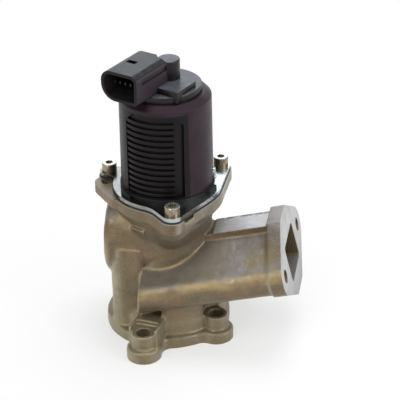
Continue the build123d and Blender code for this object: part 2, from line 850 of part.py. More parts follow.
# ---------------------------------------------------------------- top cap with the sensor tower
with BuildPart() as top_cap:
    with BuildSketch(Plane.XZ):
        section(0, cap_radius, cap_bottom, cap_top)
        section(0, cap_spigot_radius, armature_top + shell_ceiling_gap, cap_bottom)
    revolve(axis=Axis.Z)
    fillet(top_cap.edges().group_by(Axis.Z)[-1], cap_edge_round)
    # low pedestal beside the plug, and the round tower
    with BuildSketch(connector_plane.offset(pedestal_back)):
        with Locations((connector_side + cap_fit_gap, cap_top - connector_plane.origin.Z)):
            Rectangle(pedestal_width, 2 * pedestal_height, align=(Align.MIN, Align.CENTER))
    extrude(amount=pedestal_length)
    with BuildSketch(Plane.XY.offset(cap_bottom)):
        with Locations(tower_place):
            Circle(tower_radius)
    extrude(amount=tower_top - cap_bottom)
    fillet(top_cap.edges().group_by(Axis.Z)[-1], cap_edge_round)
    # hollow for the armature stroke, and the sensor bore
    with BuildSketch(Plane.XY.offset(armature_top + shell_ceiling_gap)):
        Circle(cap_spigot_radius - cap_wall)
    extrude(amount=cap_top - cap_wall - armature_top - shell_ceiling_gap, mode=Mode.SUBTRACT)
    with BuildSketch(Plane.XY.offset(cap_bottom)):
        with Locations(tower_place):
            Circle(tower_radius - tower_wall)
    extrude(amount=tower_top - tower_wall - cap_bottom, mode=Mode.SUBTRACT)
save(top_cap, "top_cap")

plunger_top = tower_top - tower_wall - sensor_spring_length
guide_seat = cap_top - cap_wall
sensor_guide_top = plunger_top - plunger_head_height - valve_lift - plunger_stop_gap

with BuildPart() as sensor_guide:
    with BuildSketch(Plane.XY.offset(guide_seat)):
        with Locations(tower_place):
            Circle(tower_radius - tower_wall)
            Circle(plunger_radius + running_fit, mode=Mode.SUBTRACT)
    extrude(amount=sensor_guide_top - guide_seat)
save(sensor_guide, "sensor_guide")

with BuildPart() as sensor_plunger:
    with BuildSketch(Plane.XY.offset(armature_top + body_gap)):
        with Locations(tower_place):
            Circle(plunger_radius)
    extrude(amount=plunger_top - armature_top - body_gap)
    with BuildSketch(Plane.XY.offset(plunger_top - plunger_head_height)):
        with Locations(tower_place):
            Circle(plunger_head_radius)
    extrude(amount=plunger_head_height)
save(sensor_plunger, "sensor_plunger")

with BuildPart() as sensor_spring:
    sensor_rise = sensor_spring_length - 2 * sensor_wire_radius - 2 * spring_end_gap
    with BuildLine() as sensor_line:
        Helix(
            pitch=sensor_rise / sensor_turns,
            height=sensor_rise,
            radius=sensor_spring_radius,
            center=(*tower_place, plunger_top + sensor_wire_radius + spring_end_gap),
        )
    with BuildSketch(Plane(origin=sensor_line.line @ 0, x_dir=(1, 0, 0), z_dir=sensor_line.line % 0)):
        RegularPolygon(sensor_wire_radius, wire_sides)
    sweep()
save(sensor_spring, "sensor_spring")

with BuildPart() as sensor_track:
    with BuildSketch(Plane.XY.offset(sensor_guide_top)):
        with Locations(tower_place):
            Circle(tower_radius - tower_wall)
            with Locations((-track_offset, 0)):
                Rectangle(2 * tower_radius, 2 * tower_radius, mode=Mode.SUBTRACT)
    extrude(amount=tower_top - tower_wall - track_gap - sensor_guide_top)
save(sensor_track, "sensor_track")

# ---------------------------------------------------------------- sealed five-pin connector
cavity_floor = connector_reach - connector_depth

with BuildPart() as connector_shell:
    with BuildSketch(connector_plane.offset(connector_start)):
        connector_outline()
    extrude(amount=connector_reach - connector_start)
    # groove along the straight side
    with BuildSketch(connector_plane.offset(connector_start)):
        with Locations((connector_side, side_groove_height)):
            Rectangle(2 * side_groove_depth, side_groove_width)
    extrude(amount=connector_reach - side_groove_stop - connector_start, mode=Mode.SUBTRACT)
    # mouth
    with BuildSketch(connector_plane.offset(cavity_floor)):
        connector_outline()
        offset(amount=-connector_wall)
    extrude(amount=connector_depth, mode=Mode.SUBTRACT)
    # latch window in the top
    with BuildSketch(Plane.XY.offset(connector_top)):
        with Locations(Location((0, 0, 0), (0, 0, connector_azimuth))):
            with Locations((latch_reach, latch_side)):
                Rectangle(latch_length, latch_width)
    extrude(amount=-2 * connector_wall, mode=Mode.SUBTRACT)
    # seat round the sensor tower, and on the cap
    with BuildSketch(Plane.XY.offset(cap_top)):
        with Locations(tower_place):
            Circle(tower_radius + cap_fit_gap)
    extrude(amount=connector_rise, mode=Mode.SUBTRACT)
    with BuildSketch(Plane.XY.offset(cap_top)):
        Circle(cap_radius + cap_fit_gap)
    extrude(amount=-connector_skirt, mode=Mode.SUBTRACT)
save(connector_shell, "connector_shell")

with BuildPart() as terminal_carrier:
    with BuildSketch(connector_plane.offset(cavity_floor)):
        connector_outline()
        offset(amount=-connector_wall)
    extrude(amount=carrier_thickness)
    with BuildSketch(connector_plane.offset(cavity_floor)):
        with Locations((connector_offset, 0)):
            with GridLocations(pin_pitch, 1, pin_count, 1):
                Rectangle(pin_thickness, pin_width)
    extrude(amount=carrier_thickness, mode=Mode.SUBTRACT)
save(terminal_carrier, "terminal_carrier")

with BuildPart() as terminals:
    with BuildSketch(connector_plane.offset(cavity_floor)):
        with Locations((connector_offset, 0)):
            with GridLocations(pin_pitch, 1, pin_count, 1):
                Rectangle(pin_thickness, pin_width)
    extrude(amount=carrier_thickness + pin_reach)
save(terminals, "terminals")
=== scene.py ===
import json
import math

import bmesh
import bpy
import numpy as np
from mathutils import Matrix, Vector, noise


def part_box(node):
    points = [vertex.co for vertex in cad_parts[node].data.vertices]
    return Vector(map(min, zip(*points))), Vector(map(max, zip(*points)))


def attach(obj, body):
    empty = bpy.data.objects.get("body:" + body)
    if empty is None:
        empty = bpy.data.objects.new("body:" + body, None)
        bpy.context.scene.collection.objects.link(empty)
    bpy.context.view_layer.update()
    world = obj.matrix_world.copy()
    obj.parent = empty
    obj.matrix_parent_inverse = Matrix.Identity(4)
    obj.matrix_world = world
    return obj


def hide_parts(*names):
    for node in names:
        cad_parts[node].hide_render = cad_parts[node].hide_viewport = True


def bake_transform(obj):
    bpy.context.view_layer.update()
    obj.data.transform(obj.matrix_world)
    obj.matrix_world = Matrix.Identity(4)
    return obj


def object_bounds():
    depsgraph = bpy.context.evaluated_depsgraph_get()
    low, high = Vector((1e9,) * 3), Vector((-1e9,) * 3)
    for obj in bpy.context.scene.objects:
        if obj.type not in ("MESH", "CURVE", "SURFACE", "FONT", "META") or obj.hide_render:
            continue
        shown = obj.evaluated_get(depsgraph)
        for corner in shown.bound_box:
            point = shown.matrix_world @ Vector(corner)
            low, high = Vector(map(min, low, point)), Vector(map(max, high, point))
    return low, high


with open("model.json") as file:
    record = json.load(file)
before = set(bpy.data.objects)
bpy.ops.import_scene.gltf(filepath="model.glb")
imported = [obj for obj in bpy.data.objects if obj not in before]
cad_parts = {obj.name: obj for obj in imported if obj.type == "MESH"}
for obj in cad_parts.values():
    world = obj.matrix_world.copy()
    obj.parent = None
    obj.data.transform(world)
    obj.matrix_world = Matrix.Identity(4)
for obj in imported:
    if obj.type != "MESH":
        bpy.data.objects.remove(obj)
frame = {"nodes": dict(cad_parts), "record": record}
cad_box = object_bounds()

NODES = frame["nodes"]
RECORD = frame["record"]
MM = 0.001

# ---------------------------------------------------------------- camera
AZIMUTH = math.radians(9.5)
ELEVATION = math.radians(28.79)
ROLL = math.radians(-1.04)
LENS = 142.65               # millimetres, as is the width of the film
FILM_WIDTH = 36
CAMERA_DISTANCE = 0.9
AIM_OFFSET = 18.1 * MM      # to the right of the valve axis, in the picture plane
AIM_HEIGHT = 76.9 * MM


def camera_axes():
    """Right, up and back directions of the level camera."""
    right = Vector((math.cos(AZIMUTH), math.sin(AZIMUTH), 0))
    forward = Vector((-math.sin(AZIMUTH), math.cos(AZIMUTH), 0))
    back = -forward * math.cos(ELEVATION) + Vector((0, 0, math.sin(ELEVATION)))
    return right, back.cross(right), back


def make_camera():
    """Camera with a long lens, rolled a little about its line of sight."""
    right, up, back = camera_axes()
    rolled_right = right * math.cos(ROLL) + up * math.sin(ROLL)
    rolled_up = up * math.cos(ROLL) - right * math.sin(ROLL)
    aim = right * AIM_OFFSET + Vector((0, 0, AIM_HEIGHT))
    camera = bpy.data.objects.new("camera", bpy.data.cameras.new("camera"))
    bpy.context.scene.collection.objects.link(camera)
    camera.data.lens = LENS
    camera.data.sensor_width = FILM_WIDTH
    turn = Matrix((rolled_right, rolled_up, back)).transposed()
    camera.matrix_world = Matrix.Translation(aim + back * CAMERA_DISTANCE) @ turn.to_4x4()
    bpy.context.scene.camera = camera


# ---------------------------------------------------------------- light and floor
SKY_COLOUR = (0.92, 0.95, 1, 1)
SKY_STRENGTH = 0.28
CEILING = (0.15, 0.6, 1.0, 0.3)       # white up to the first height, dimmed past the second
FLOOR_COLOUR = (0.93, 0.93, 0.93, 1)
FLOOR_HALF_WIDTH = 4.0
FLOOR_GAP = 0.1 * MM                  # under the lowest point of the part
FLOOR_FADE = (0.04, 0.16, 0.6, 1.0)   # share of white up to the first distance and past the second
WHITE = (1, 1, 1, 1)


def softbox(name, place, aim, size, power, colour=(1, 1, 1)):
    """Rectangular lamp at a place, turned towards its aim."""
    lamp = bpy.data.lights.new(name, "AREA")
    lamp.shape = "RECTANGLE"
    lamp.size, lamp.size_y = size
    lamp.energy = power
    lamp.color = colour
    holder = bpy.data.objects.new(name, lamp)
    bpy.context.scene.collection.objects.link(holder)
    holder.location = place
    holder.rotation_euler = (Vector(aim) - Vector(place)).to_track_quat("-Z", "Y").to_euler()


def map_range(tree, source, span, smooth=False):
    """Maps a value from the first two numbers of the span to its last two."""
    node = tree.nodes.new("ShaderNodeMapRange")
    if smooth:
        node.interpolation_type = "SMOOTHSTEP"
    for socket, value in zip(("From Min", "From Max", "To Min", "To Max"), span):
        node.inputs[socket].default_value = value
    tree.links.new(source, node.inputs["Value"])
    return node.outputs["Result"]


def white_to_view(tree, lit, white):
    """Mixes a lit shader with plain white for the rays that see the background."""
    path = tree.nodes.new("ShaderNodeLightPath")
    seen = tree.nodes.new("ShaderNodeMath")
    seen.operation = "MAXIMUM"
    tree.links.new(path.outputs["Is Camera Ray"], seen.inputs[0])
    tree.links.new(path.outputs["Is Glossy Ray"], seen.inputs[1])
    through = tree.nodes.new("ShaderNodeMath")
    through.operation = "MAXIMUM"
    tree.links.new(seen.outputs[0], through.inputs[0])
    tree.links.new(path.outputs["Is Transmission Ray"], through.inputs[1])
    mix = tree.nodes.new("ShaderNodeMixShader")
    tree.links.new(through.outputs[0], mix.inputs["Fac"])
    tree.links.new(lit.outputs[0], mix.inputs[1])
    tree.links.new(white.outputs[0], mix.inputs[2])
    return mix


def make_world():
    """Dim even light; what is seen of it is white round the horizon, with a darker ceiling."""
    world = bpy.data.worlds.new("studio")
    world.use_nodes = True
    tree = world.node_tree
    lit = tree.nodes["Background"]
    lit.inputs["Color"].default_value = SKY_COLOUR
    lit.inputs["Strength"].default_value = SKY_STRENGTH
    white = tree.nodes.new("ShaderNodeBackground")
    white.inputs["Strength"].default_value = 1.0
    toward = tree.nodes.new("ShaderNodeTexCoord")
    split = tree.nodes.new("ShaderNodeSeparateXYZ")
    tree.links.new(toward.outputs["Generated"], split.inputs[0])
    tree.links.new(map_range(tree, split.outputs["Z"], CEILING, smooth=True), white.inputs["Color"])
    mix = white_to_view(tree, lit, white)
    tree.links.new(mix.outputs[0], tree.nodes["World Output"].inputs["Surface"])
    bpy.context.scene.world = world


def make_floor():
    """Pale floor that keeps the shadow near the part and fades to white further out."""
    mesh = bpy.data.meshes.new("floor")
    half = FLOOR_HALF_WIDTH
    level = cad_box[0][2] - FLOOR_GAP
    corners = [(x, y, level) for x, y in ((-half, -half), (half, -half), (half, half), (-half, half))]
    mesh.from_pydata(corners, [], [(0, 1, 2, 3)])
    floor = bpy.data.objects.new("floor", mesh)
    bpy.context.scene.collection.objects.link(floor)
    material = bpy.data.materials.new("floor_white")
    material.use_nodes = True
    tree = material.node_tree
    tree.nodes.remove(tree.nodes["Principled BSDF"])
    matt = tree.nodes.new("ShaderNodeBsdfDiffuse")
    matt.inputs["Color"].default_value = FLOOR_COLOUR
    white = tree.nodes.new("ShaderNodeEmission")
    white.inputs["Color"].default_value = WHITE
    white.inputs["Strength"].default_value = 1.0
    place = tree.nodes.new("ShaderNodeTexCoord")
    away = tree.nodes.new("ShaderNodeVectorMath")
    away.operation = "LENGTH"
    tree.links.new(place.outputs["Object"], away.inputs[0])
    seen = white_to_view(tree, matt, white)
    mix = tree.nodes.new("ShaderNodeMixShader")
    tree.links.new(map_range(tree, away.outputs["Value"], FLOOR_FADE), mix.inputs["Fac"])
    tree.links.new(matt.outputs[0], mix.inputs[1])
    tree.links.new(seen.outputs[0], mix.inputs[2])
    tree.links.new(mix.outputs[0], tree.nodes["Material Output"].inputs["Surface"])
    mesh.materials.append(material)


# ---------------------------------------------------------------- places on the part
UP = (0, 0, 1)
DUCT_FLANGE = 8 * MM          # its thickness
DUCT_HALF_HEIGHT = 19.4 * MM
PAD_RISE = 3.5 * MM           # of the milled pad over the duct
PAD_SIDES = (-10.2 * MM, 7.0 * MM)        # along Y
PAD_START = 27 * MM           # from the valve axis
SPARE_EAR = (-0.9, -0.43, 0)  # towards the ear with the spare hole
WINDOW_TURN = math.radians(-97)
WINDOW_AXIS = (math.cos(WINDOW_TURN), math.sin(WINDOW_TURN), 0)      # of the ribbed windows
WINDOW_REACH = (17.5 * MM, 18.2 * MM)     # along that axis: panels up to the first, ribs from the second
WINDOW_TOP = (142 * MM, 141 * MM)         # heights: shoulder over the first, ribs under the second

# ---------------------------------------------------------------- material helpers
RAMP_RANGE = (-1.0, 1.0)      # of the factors that a ramp takes, as facing() gives them
METAL_EDGE = 0.15 * MM        # radius at which edges of metal look rounded
MOULDED_EDGE = 0.3 * MM


class Finish:
    """A procedural material on a Principled shader, in the part's own metres."""

    def __init__(self, name, roughness=0.5, metallic=0.0, specular=0.5):
        self.material = bpy.data.materials.new(name)
        self.material.use_nodes = True
        self.tree = self.material.node_tree
        self.shader = self.tree.nodes["Principled BSDF"]
        self.shader.inputs["Metallic"].default_value = metallic
        self.shader.inputs["Roughness"].default_value = roughness
        self.shader.inputs["Specular IOR Level"].default_value = specular
        self.place = self.tree.nodes.new("ShaderNodeTexCoord").outputs["Object"]
        self.normal = None

    def link(self, source, socket):
        """Feeds the output of a node into the shader."""
        self.tree.links.new(source, self.shader.inputs[socket])

    def stretched(self, scale):
        """The place on the part, multiplied by a scale for each axis."""
        node = self.tree.nodes.new("ShaderNodeVectorMath")
        node.operation = "MULTIPLY"
        node.inputs[1].default_value = scale
        self.tree.links.new(self.place, node.inputs[0])
        return node.outputs[0]

    def noise(self, size, detail=3.0, rough=0.55, stretch=None):
        """Noise between 0 and 1 whose blotches are about `size` metres wide."""
        node = self.tree.nodes.new("ShaderNodeTexNoise")
        node.inputs["Scale"].default_value = 1 / size
        node.inputs["Detail"].default_value = detail
        node.inputs["Roughness"].default_value = rough
        self.tree.links.new(self.stretched(stretch) if stretch else self.place, node.inputs["Vector"])
        return node.outputs["Fac"]

    def remap(self, source, low, high, to_low=0.0, to_high=1.0, smooth=False):
        """Maps a value from one range to another, and holds it there past both ends."""
        return map_range(self.tree, source, (low, high, to_low, to_high), smooth)

    def math(self, operation, first, second=0.0):
        """One operation on two values, each a number or the output of a node."""
        node = self.tree.nodes.new("ShaderNodeMath")
        node.operation = operation
        for socket, value in zip(node.inputs, (first, second)):
            if isinstance(value, (int, float)):
                socket.default_value = value
            else:
                self.tree.links.new(value, socket)
        return node.outputs[0]

    def mix(self, factor, first, second):
        """The first colour at factor 0 and the second at 1, each a tuple or the output of a node."""
        node = self.tree.nodes.new("ShaderNodeMix")
        node.data_type = "RGBA"
        self.tree.links.new(factor, node.inputs["Factor"])
        colour_a, colour_b = [socket for socket in node.inputs if socket.type == "RGBA"]
        for socket, value in ((colour_a, first), (colour_b, second)):
            if isinstance(value, tuple):
                socket.default_value = (*value, 1)
            else:
                self.tree.links.new(value, socket)
        return next(socket for socket in node.outputs if socket.type == "RGBA")

    def ramp(self, factor, stops):
        """Colours at given places of the factor, blended between."""
        node = self.tree.nodes.new("ShaderNodeValToRGB")
        node.color_ramp.interpolation = "EASE"
        points = node.color_ramp.elements
        while len(points) < len(stops):
            points.new(1.0)
        for point, (place, colour) in zip(points, stops):
            point.position = place
            point.color = (*colour, 1)
        self.tree.links.new(self.remap(factor, *RAMP_RANGE), node.inputs["Fac"])
        return node.outputs["Color"]

    def along(self, axis):
        """Distance from the part's origin along an axis, in metres."""
        node = self.tree.nodes.new("ShaderNodeVectorMath")
        node.operation = "DOT_PRODUCT"
        node.inputs[1].default_value = axis
        self.tree.links.new(self.place, node.inputs[0])
        return node.outputs["Value"]

    def height(self):
        """Height over the part's origin, in metres."""
        node = self.tree.nodes.new("ShaderNodeSeparateXYZ")
        self.tree.links.new(self.place, node.inputs[0])
        return node.outputs["Z"]

    def pointiness(self):
        """Over 0.5 on outer edges and under it in corners."""
        return self.tree.nodes.new("ShaderNodeNewGeometry").outputs["Pointiness"]

    def facing(self, axis):
        """How far the surface turns towards an axis of the part, from -1 to 1."""
        geometry = self.tree.nodes.new("ShaderNodeNewGeometry")
        node = self.tree.nodes.new("ShaderNodeVectorMath")
        node.operation = "DOT_PRODUCT"
        node.inputs[1].default_value = axis
        self.tree.links.new(geometry.outputs["Normal"], node.inputs[0])
        return node.outputs["Value"]

    def edge_round(self, radius):
        """Shades the edges as if they were rounded."""
        node = self.tree.nodes.new("ShaderNodeBevel")
        node.samples = 6
        node.inputs["Radius"].default_value = radius
        self.normal = node.outputs["Normal"]
        self.link(self.normal, "Normal")

    def bump(self, height, depth):
        """Fine relief over whatever normal the finish has so far."""
        node = self.tree.nodes.new("ShaderNodeBump")
        node.inputs["Strength"].default_value = 1.0
        node.inputs["Distance"].default_value = depth
        self.tree.links.new(height, node.inputs["Height"])
        if self.normal:
            self.tree.links.new(self.normal, node.inputs["Normal"])
        self.normal = node.outputs["Normal"]
        self.link(self.normal, "Normal")

    def scratched(self, smoothest, roughest, grain=None):
        """Surface of worked metal, with scratches along its grain."""
        self.link(self.remap(self.noise(0.9 * MM, stretch=grain), 0.3, 0.7, smoothest, roughest), "Roughness")
        self.bump(self.noise(0.6 * MM, stretch=grain), 0.012 * MM)

    def moulded(self, smoothest, roughest):
        """Surface of moulded plastic, with a fine grain."""
        self.link(self.remap(self.noise(2.5 * MM), 0.3, 0.7, smoothest, roughest), "Roughness")
        self.bump(self.noise(0.35 * MM, detail=2), 0.012 * MM)


# ---------------------------------------------------------------- finishes
# painted light and shade on the cast skin, by how far it faces up: 0 is straight down, 0.5 upright, 1
# straight up; a painted floor reflection underneath, painted shade in brown on the flanks, a painted golden
# highlight on the shoulders and a painted grey sheen on the flats
CAST_PAINTED_LIGHT = [
    (0.10, (0.22, 0.18, 0.115)),
    (0.40, (0.14, 0.105, 0.058)),
    (0.58, (0.155, 0.11, 0.056)),
    (0.78, (0.37, 0.27, 0.115)),
    (0.90, (0.28, 0.23, 0.145)),
    (0.95, (0.265, 0.243, 0.238)),
]
LEDGE_LIT_TAN = (0.33, 0.275, 0.165)
ROOT_TAN = (0.235, 0.195, 0.125)
RED_BROWN = (0.21, 0.12, 0.068)
NECK_SHADE_BROWN = (0.10, 0.072, 0.042)
KHAKI = (0.31, 0.265, 0.155)
OLIVE = (0.17, 0.155, 0.075)
LEFT_LIT_CREAM = (0.44, 0.39, 0.265)
RIGHT_LIT_BEIGE = (0.34, 0.30, 0.235)
COLLAR_LIT_BEIGE = (0.37, 0.325, 0.26)
STAIN_BROWN = (0.15, 0.11, 0.072)
SPECK_CREAM = (0.46, 0.42, 0.34)
WORN_AND_HIGHLIT_GOLD = (0.50, 0.43, 0.29)
SKYWARD = (-0.12, -0.1, 0.98)      # up, a little to the left and the front
LEFTWARD = (-0.9, -0.42, -0.05)
RIGHTWARD = (0.95, -0.1, -0.1)
COLLAR_SIDE = (0.92, -0.4, 0)      # of the top flange, to the right and the front


def cast_aluminium():
    """Sand cast skin with painted light: a grey sheen painted where it lies flat, a golden highlight painted
    on the shoulders, shade painted brown on the flanks.
    """
    f = Finish("cast_aluminium", metallic=0.42)
    blotch = f.remap(f.noise(24 * MM, detail=2), 0.3, 0.7, -0.14, 0.14)
    rise = f.math("ADD", f.facing(SKYWARD), blotch)
    # skin holds the cast colour together with the painted light and shade mixed into it below
    skin = f.ramp(rise, CAST_PAINTED_LIGHT)
    upright = f.remap(f.math("ABSOLUTE", f.facing(UP)), 0.35, 0.7, 1.0, 0.0, smooth=True)
    reddish = f.remap(f.noise(26 * MM, detail=4), 0.45, 0.6, 0.0, 0.7, smooth=True)
    skin = f.mix(f.math("MULTIPLY", upright, reddish), skin, RED_BROWN)
    # painted light: a lit cream on what faces left, held back close under the top flange where its shade
    # falls, and a lit beige on what faces right
    left = f.remap(f.facing(LEFTWARD), 0.3, 0.95, 0.0, 0.85, smooth=True)
    under_flange = f.remap(f.height(), 58 * MM, 66 * MM, 1.0, 0.15, smooth=True)
    skin = f.mix(f.math("MULTIPLY", left, under_flange), skin, LEFT_LIT_CREAM)
    right = f.remap(f.facing(RIGHTWARD), 0.3, 0.95, 0.0, 0.6, smooth=True)
    skin = f.mix(right, skin, RIGHT_LIT_BEIGE)
    # painted light: a lit beige on the side of the top flange that faces right and front
    lit_collar = f.remap(f.facing(COLLAR_SIDE), 0.62, 1.0, 0.0, 0.8, smooth=True)
    high = f.remap(f.height(), 69 * MM, 72 * MM)
    skin = f.mix(f.math("MULTIPLY", lit_collar, high), skin, COLLAR_LIT_BEIGE)
    # khaki low on the flanks, and painted shade in dark brown on the neck, under and up to the top flange
    low = f.remap(f.height(), 30 * MM, 10 * MM, 0.0, 0.45, smooth=True)
    skin = f.mix(f.math("MULTIPLY", upright, low), skin, KHAKI)
    shaded = f.math(
        "MULTIPLY",
        f.remap(f.height(), 54 * MM, 66 * MM, 0.0, 0.5, smooth=True),
        f.remap(f.height(), 72 * MM, 70 * MM),
    )
    skin = f.mix(shaded, skin, NECK_SHADE_BROWN)
    # painted light: the up-facing ledges of the base are a lit khaki, unlike the grey sheen painted on the
    # flats of the duct
    lit_ledge = f.math(
        "MULTIPLY",
        f.remap(f.facing(UP), 0.6, 0.9, 0.0, 0.85, smooth=True),
        f.remap(f.height(), 34 * MM, 30 * MM),
    )
    skin = f.mix(lit_ledge, skin, LEDGE_LIT_TAN)
    # the flat of the duct is tan at its root and turns outwards to the grey sheen painted by the tones above
    root = f.math(
        "MULTIPLY",
        f.remap(f.facing(UP), 0.5, 0.9, 0.0, 0.6, smooth=True),
        f.remap(f.along((1, 0, 0)), 46 * MM, 26 * MM, smooth=True),
    )
    skin = f.mix(root, skin, ROOT_TAN)
    # broken colour: olive on the flanks, then stains, specks, and worn edges with a painted highlight, all
    # over
    patina = f.remap(f.noise(13 * MM, detail=5, rough=0.65), 0.5, 0.64, 0.0, 0.42, smooth=True)
    skin = f.mix(f.math("MULTIPLY", patina, upright), skin, OLIVE)
    stain = f.remap(f.noise(9 * MM, detail=4), 0.5, 0.72, 0.0, 0.4, smooth=True)
    skin = f.mix(stain, skin, STAIN_BROWN)
    speck = f.remap(f.noise(0.8 * MM, detail=4), 0.5, 0.72, 0.0, 0.22)
    skin = f.mix(speck, skin, SPECK_CREAM)
    # worn edges that also carry a painted highlight, gold on the convex rims
    worn_and_highlit = f.remap(f.pointiness(), 0.515, 0.57, 0.0, 0.55, smooth=True)
    f.link(f.mix(worn_and_highlit, skin, WORN_AND_HIGHLIT_GOLD), "Base Color")
    f.link(f.remap(f.noise(5 * MM), 0.3, 0.7, 0.34, 0.5), "Roughness")
    f.bump(f.noise(0.55 * MM, detail=2), 0.06 * MM)
    f.bump(f.noise(3.5 * MM, detail=3), 0.2 * MM)
    return f.material


def machined_aluminium():
    """Milled grey, darker towards the base and brown on the spare ear."""
    f = Finish("machined_aluminium", roughness=0.38, metallic=0.5)
    tone = f.remap(f.noise(9 * MM), 0.35, 0.65)
    clean = f.mix(tone, (0.44, 0.44, 0.44), (0.54, 0.54, 0.535))
    low = f.remap(f.height(), 52 * MM, 22 * MM, 0.0, 0.7, smooth=True)
    clean = f.mix(low, clean, (0.2, 0.2, 0.2))
    spare_ear = f.remap(f.along(SPARE_EAR), 25 * MM, 28 * MM, smooth=True)
    clean = f.mix(spare_ear, clean, (0.24, 0.20, 0.145))
    mark = f.remap(f.noise(3 * MM, detail=4), 0.55, 0.7, 0.0, 0.5, smooth=True)
    f.link(f.mix(mark, clean, (0.27, 0.26, 0.25)), "Base Color")
    f.link(f.remap(f.noise(1.2 * MM, stretch=(1, 6, 1)), 0.3, 0.7, 0.32, 0.46), "Roughness")
    f.bump(f.noise(0.5 * MM, stretch=(1, 12, 1)), 0.02 * MM)
    return f.material


FAR_EDGE_MARKS = (2.6 * MM, 1.4 * MM)      # where the marks start and are full, from the pad's far side


def milled_pad():
    """Bright milled strip on the duct, with dark marks along its far edge."""
    f = Finish("milled_pad", roughness=0.42, metallic=0.5)
    grain = f.remap(f.noise(1.5 * MM, detail=3, stretch=(0.3, 3, 1)), 0.35, 0.65)
    clean = f.mix(grain, (0.40, 0.40, 0.41), (0.53, 0.53, 0.54))
    start, full = (PAD_SIDES[1] - inset for inset in FAR_EDGE_MARKS)
    edge = f.remap(f.along((0, 1, 0)), start, full, smooth=True)
    patchy = f.remap(f.noise(3.5 * MM, detail=4, stretch=(1, 0.3, 1)), 0.42, 0.5)
    f.link(f.mix(f.math("MULTIPLY", edge, patchy), clean, (0.17, 0.165, 0.16)), "Base Color")
    f.link(f.remap(f.noise(1.2 * MM, stretch=(1, 6, 1)), 0.3, 0.7, 0.36, 0.5), "Roughness")
    f.bump(f.noise(0.5 * MM, stretch=(0.2, 3, 1)), 0.02 * MM)
    return f.material


def metal(name, colour, dark, roughness, grain=None):
    """Plain metal in two tones."""
    f = Finish(name, roughness=roughness, metallic=0.85)
    f.edge_round(METAL_EDGE)
    tone = f.remap(f.noise(5 * MM), 0.3, 0.7)
    f.link(f.mix(tone, dark, colour), "Base Color")
    f.scratched(roughness - 0.06, roughness + 0.08, grain)
    return f.material


CONNECTOR_SIDE = (0.91, -0.41, 0)     # the straight side of the plug shell


def connector_moulding():
    """Black moulding with a painted grey sheen on its top, and painted light that makes its straight side
    brownish.
    """
    f = Finish("black_connector", roughness=0.36, specular=0.26)
    f.edge_round(MOULDED_EDGE)
    # painted sheen: grey on what faces up
    top_sheen = f.remap(f.facing(UP), 0.5, 0.95, smooth=True)
    tone = f.remap(f.noise(5 * MM, detail=3), 0.35, 0.65)
    top = f.mix(tone, (0.012, 0.012, 0.015), (0.026, 0.027, 0.032))
    # painted light: brownish where the straight side faces the light
    lit_side = f.remap(f.facing(CONNECTOR_SIDE), 0.6, 0.95, smooth=True)
    sides = f.mix(lit_side, (0.004, 0.003, 0.0035), (0.042, 0.029, 0.037))
    f.link(f.mix(top_sheen, sides, top), "Base Color")
    f.moulded(0.3, 0.42)
    return f.material


def plate_steel():
    """Bright rolled sheet, painted darker away from the duct and brighter towards it as a painted reflection.
    """
    f = Finish("bright_steel", metallic=1.0)
    f.edge_round(METAL_EDGE)
    tone = f.remap(f.noise(5 * MM, detail=4), 0.3, 0.7)
    bright = f.mix(tone, (0.46, 0.50, 0.49), (0.62, 0.66, 0.65))
    dull = f.mix(tone, (0.20, 0.20, 0.185), (0.32, 0.32, 0.30))
    # painted reflection: darker to the left, brighter to the right
    outward = f.remap(f.along((1, 0, 0)), -12 * MM, 20 * MM, smooth=True)
    f.link(f.mix(outward, dull, bright), "Base Color")
    f.scratched(0.14, 0.28, (1, 7, 1))
    return f.material


def screw_zinc():
    """Zinc plating with painted light: a silver highlight painted on the heads' tops, and a yellow brown
    painted round their sides as a reflection of the casting.
    """
    f = Finish("zinc_screws", metallic=0.85)
    f.edge_round(METAL_EDGE)
    tone = f.remap(f.noise(2.5 * MM), 0.3, 0.7)
    # painted reflection of the casting, yellow brown round the sides
    sides = f.mix(tone, (0.25, 0.195, 0.135), (0.42, 0.35, 0.26))
    # painted highlight: silver on the heads' tops
    up = f.remap(f.facing(UP), 0.5, 0.9, smooth=True)
    f.link(f.mix(up, sides, (0.62, 0.62, 0.58)), "Base Color")
    f.scratched(0.2, 0.34)
    return f.material


def plastic(name, colour, dull, roughness, specular=0.5):
    """Plain moulded plastic in two tones."""
    f = Finish(name, roughness=roughness, specular=specular)
    f.edge_round(MOULDED_EDGE)
    tone = f.remap(f.noise(14 * MM, detail=2), 0.35, 0.65)
    f.link(f.mix(tone, dull, colour), "Base Color")
    f.moulded(roughness - 0.05, roughness + 0.07)
    return f.material


def ribbed_moulding():
    """Satin black moulding, brownish purple on its panels, and painted nearly black as shade across the
    windows with ribs.
    """
    f = Finish("black_moulding", specular=0.2)
    f.edge_round(MOULDED_EDGE)
    tone = f.remap(f.noise(14 * MM, detail=2), 0.35, 0.65)
    panel = f.mix(tone, (0.023, 0.012, 0.018), (0.035, 0.0185, 0.028))
    # painted shade: the windows with ribs are painted nearly black
    outward = f.remap(f.math("ABSOLUTE", f.along(WINDOW_AXIS)), *WINDOW_REACH)
    painted_rib_shade = f.math("MULTIPLY", outward, f.remap(f.height(), *WINDOW_TOP))
    f.link(f.mix(painted_rib_shade, panel, (0.006, 0.0035, 0.0045)), "Base Color")
    f.moulded(0.36, 0.46)
    return f.material


def cap_moulding():
    """Black moulding, with a painted grey sheen on what faces up."""
    f = Finish("black_cap", roughness=0.34, specular=0.34)
    f.edge_round(MOULDED_EDGE)
    # painted sheen: grey on what faces up
    top_sheen = f.remap(f.facing(UP), 0.5, 0.95, smooth=True)
    tone = f.remap(f.noise(6 * MM, detail=3), 0.35, 0.65)
    top = f.mix(tone, (0.045, 0.048, 0.058), (0.08, 0.085, 0.10))
    f.link(f.mix(top_sheen, (0.008, 0.005, 0.0065), top), "Base Color")
    f.moulded(0.27, 0.41)
    return f.material


